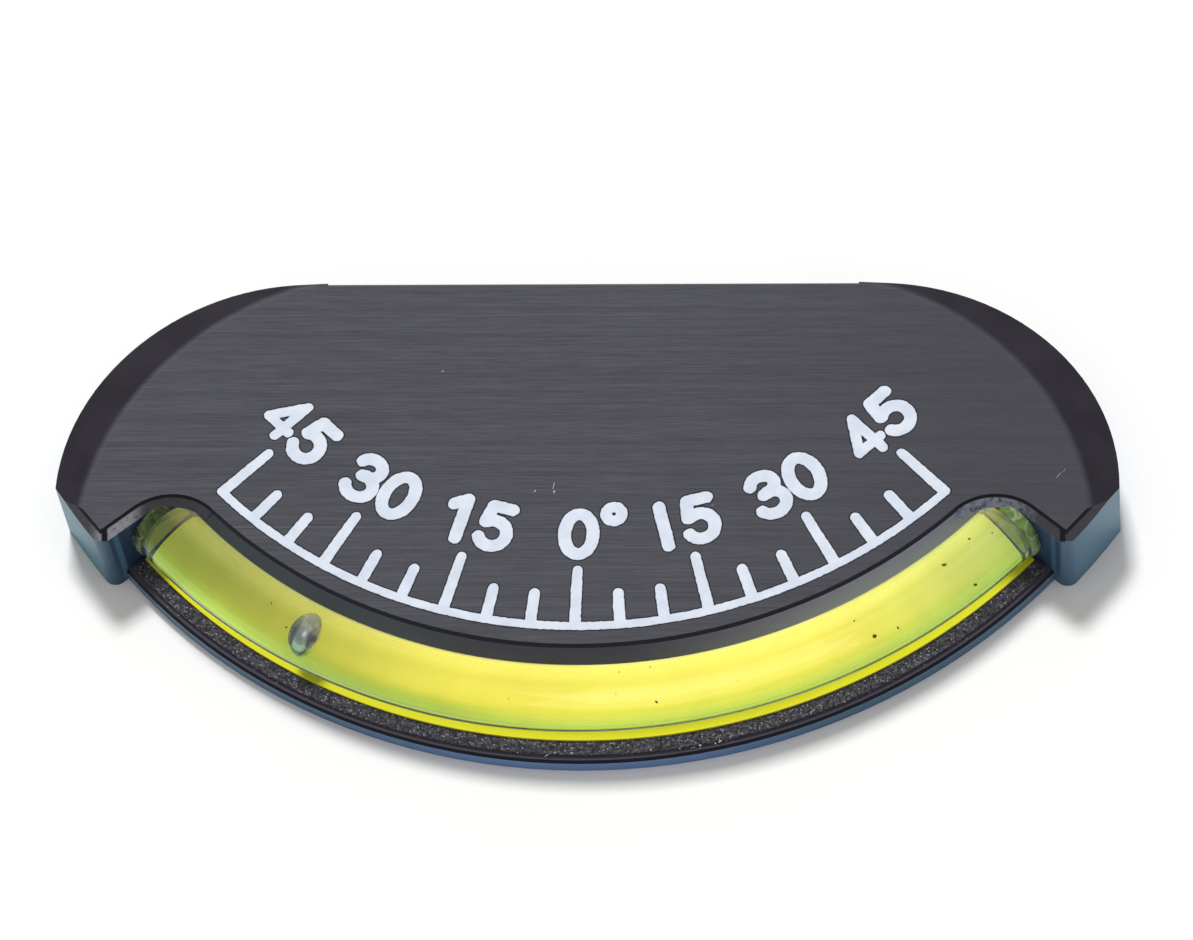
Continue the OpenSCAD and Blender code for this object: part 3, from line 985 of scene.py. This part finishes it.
# %% Fill the scale
SPAN = 45
STEP = 5
LABEL_STEP = 15
LONG_TICK = 5.84 * MM
SHORT_TICK = 3.28 * MM
MARGIN = 0.9 * MM
SCALE_SINK = 0.3 * MM
SCALE_SEED = 3


def from_arc(along, inward, z):
    """A point given by its way along the scale's arc and its distance from it towards the centre."""
    return dial_point(math.degrees(along / scale_r), scale_r - inward, z)


def arc_length(angle):
    """The way along the scale's arc to an angle in degrees."""
    return math.radians(angle) * scale_r


root = (tick_stroke - arc_stroke) / 2
ends = arc_length(SPAN) + root
scale_strokes = [([(-ends, 0), (ends, 0)], arc_stroke)]
for angle in range(-SPAN, SPAN + 1, STEP):
    reach = SHORT_TICK if angle % LABEL_STEP else LONG_TICK
    scale_strokes.append(([(arc_length(angle), root), (arc_length(angle), reach)], tick_stroke))
low = (-ends - MARGIN, -MARGIN)
high = (ends + MARGIN, LONG_TICK + MARGIN)
scale_paint = paint("scale_paint", scale_strokes, low, high, SCALE_SEED, from_arc, SCALE_SINK)
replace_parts(scale_paint, "scale_infill")
print("scale:", len(scale_paint.data.polygons), "faces")

# %% [markdown]
# The numerals stand on a circle inside the ticks, each turned with the dial. A text object would be quick,
# but a font has corners that a round cutter can't make. These were cut by a machine that follows lines and
# arcs, so each digit here is a few paths in millimetres about its middle.

# %% Draw the digits
NUMERAL_R = 38.95 * MM
NUMERAL_STROKE = 1.15 * MM
HALF_FIELD = (2.5 * MM, 3.1 * MM)
DEGREE_RING_R = 36.93 * MM
DEGREE_RING_ANGLE = math.degrees(math.atan2(3.18, 36.80))
FIRST_SEED = 20
SEED_STEP = 7
RING_SEED = 5


def bow(centre, wide, tall, start, end, steps=20):
    """Points on an oval, from one angle to another in degrees."""
    turns = [math.radians(start + (end - start) * k / steps) for k in range(steps + 1)]
    return [(centre[0] + wide * math.cos(t), centre[1] + tall * math.sin(t)) for t in turns]


DIGITS = {
    "0": [bow((0, 0), 1.36, 2.14, 0, 360, 40)],
    "1": [[(-1.15, 1.35), (0.05, 2.12), (0.05, -2.12)]],
    "bar": [[(0, 2.12), (0, -2.12)]],
    "3": [
        bow((0, 1.14), 1.18, 0.98, 160, -90),
        [(-0.35, 0.14), (0.1, 0.16)],
        bow((0, -0.95), 1.38, 1.20, 88, -158),
    ],
    "4": [[(0.6, -2.12), (0.6, 2.12), (-1.42, -1.05), (1.3, -1.05)]],
    "5": [[(1.2, 2.08), (-0.72, 2.08), (-1.02, 0.3)], bow((0, -0.78), 1.36, 1.36, 128, -152)],
    "ring": [bow((0, 0), 0.74, 0.74, 0, 360, 24)],
}
STROKES = {"4": 0.91 * MM, "ring": 1.02 * MM}
print("digits:", ", ".join(DIGITS))

# %% [markdown]
# Each label leans with its angle on the dial. Beside the angle stand its digits, each with the angle at
# which it is written; the right 15 begins with a plain bar, where the left one has a flag.

# %% Write the numerals
NUMERALS = {
    "45_left": (-45, [("4", -47.5), ("5", -42.1)]),
    "30_left": (-30, [("3", -32.4), ("0", -26.6)]),
    "15_left": (-15, [("1", -16.9), ("5", -12.0)]),
    "0_middle": (0, [("0", -0.1)]),
    "15_right": (15, [("bar", 11.8), ("5", 16.8)]),
    "30_right": (30, [("3", 27.0), ("0", 32.8)]),
    "45_right": (45, [("4", 42.9), ("5", 48.3)]),
}


def write(name, digit, angle, radius, lean, seed):
    """One digit, turned with its label, as a piece of paint."""
    turn = math.radians(lean)
    middle = dial_point(angle, radius)

    def to_dial(u, v, z):
        x = middle.x + u * math.cos(turn) - v * math.sin(turn)
        y = middle.y + u * math.sin(turn) + v * math.cos(turn)
        return Vector((x, y, z))

    width = STROKES.get(digit, NUMERAL_STROKE)
    strokes = [([(u * MM, v * MM) for u, v in path], width) for path in DIGITS[digit]]
    low = (-HALF_FIELD[0], -HALF_FIELD[1])
    return paint(name, strokes, low, HALF_FIELD, seed, to_dial)


pieces = []
seed = FIRST_SEED
for label, (lean, digits) in NUMERALS.items():
    for order, (digit, angle) in enumerate(digits):
        seed += SEED_STEP
        pieces.append(write(f"numeral_{label}_{order + 1}", digit, angle, NUMERAL_R, lean, seed))
pieces.append(write("degree_ring", "ring", DEGREE_RING_ANGLE, DEGREE_RING_R, 0, RING_SEED))
print("numerals:", len(pieces), "pieces of paint")

# %% [markdown]
# ## The table and the light
# The gauge lies on a white table. The levels of sky and lamps add up to about one, so that a colour renders
# about as it is written.

# %% Table
TABLE_HALF = 3.0
TABLE_WHITE = (0.96, 0.955, 0.95)
TABLE_LIGHT = (0.98, 0.978, 0.975)

table_finish = Finish("table_white", Roughness=0.9)
table_cloud = table_finish.grain(table_finish.place(), 40, 2.0)
table_finish.feed("Base Color", table_finish.blend(table_cloud, TABLE_WHITE, TABLE_LIGHT))
corners = [(x * TABLE_HALF, y * TABLE_HALF, 0) for x, y in ((-1, -1), (1, -1), (1, 1), (-1, 1))]
table_mesh = bpy.data.meshes.new("table")
table_mesh.from_pydata(corners, [], [(0, 1, 2, 3)])
table = bpy.data.objects.new("table", table_mesh)
bpy.context.scene.collection.objects.link(table)
cover(table, table_finish)
print("table:", 2 * TABLE_HALF, "m square")

# %% [markdown]
# An even white sky fills the shadows. One lamp beyond the top edge lights the gauge, a soft box overhead
# gives the black plate its sheen, and a small lamp in front puts a glint on the ball. Each of these shines
# through the tube and the sealant, so the film below gets its light: a render would take hours to gather
# that light through a lens. A real tube shades the table all the same, so the table has a lamp of its own,
# which everything blocks. Light linking does both: a lamp lights the pieces of one collection, and only the
# pieces of another cast its shadows.

# %% Lamps and sky
SKY = 0.35
SKY_COLOUR = (1.0, 0.97, 0.96, 1)
CLEAR_PIECES = ("tube_glass", "sealant_left", "sealant_right", "tube", "seal_left", "seal_right")


def lamp(name, place, size, power, mirrored=True):
    """A square lamp that looks at the gauge; one that isn't mirrored leaves no glint on gloss."""
    light = bpy.data.objects.new(name, bpy.data.lights.new(name, "AREA"))
    light.data.shape = "SQUARE"
    light.data.size = size
    light.data.energy = power
    light.location = place
    light.rotation_mode = "QUATERNION"
    light.rotation_quaternion = (Vector((0, 0, 0)) - Vector(place)).to_track_quat("-Z", "Y")
    light.visible_glossy = mirrored
    light.visible_transmission = mirrored
    bpy.context.scene.collection.objects.link(light)
    return light


def collection(name, pieces):
    """A collection that a lamp's light linking can point at."""
    group = bpy.data.collections.new(name)
    for piece in pieces:
        group.objects.link(piece)
    return group


def link_light(light, lit, shading=None):
    """Which pieces a lamp lights, and which cast its shadows; without a list every piece does."""
    light.light_linking.receiver_collection = collection("lit_by_" + light.name, lit)
    if shading:
        light.light_linking.blocker_collection = collection("shades_" + light.name, shading)


world = bpy.data.worlds.new("sky")
bpy.context.scene.world = world
world.use_nodes = True
world.node_tree.nodes["Background"].inputs["Color"].default_value = SKY_COLOUR
world.node_tree.nodes["Background"].inputs["Strength"].default_value = SKY

key = lamp("key_lamp", (-0.22, 1.08, 1.66), size=0.44, power=29.0, mirrored=False)
soft = lamp("soft_box", (0.10, -0.15, 1.0), size=0.80, power=1.1)
table_lamp = lamp("table_lamp", (-0.20, 0.88, 1.70), size=0.36, power=27.5, mirrored=False)
glint = lamp("ball_glint", (0.12, -0.40, 0.85), size=0.50, power=0.9)

gauge = [piece for piece in bpy.context.scene.objects if piece.type == "MESH" and piece is not table]
solid = [piece for piece in gauge if piece.name not in CLEAR_PIECES]
link_light(key, gauge, solid)
link_light(soft, solid + [table], solid + [table])
link_light(table_lamp, [table])
link_light(glint, [node["ball"], tube], solid)
bpy.context.scene.view_settings.view_transform = "Standard"
print("sky", SKY, "key", key.data.energy, "W")
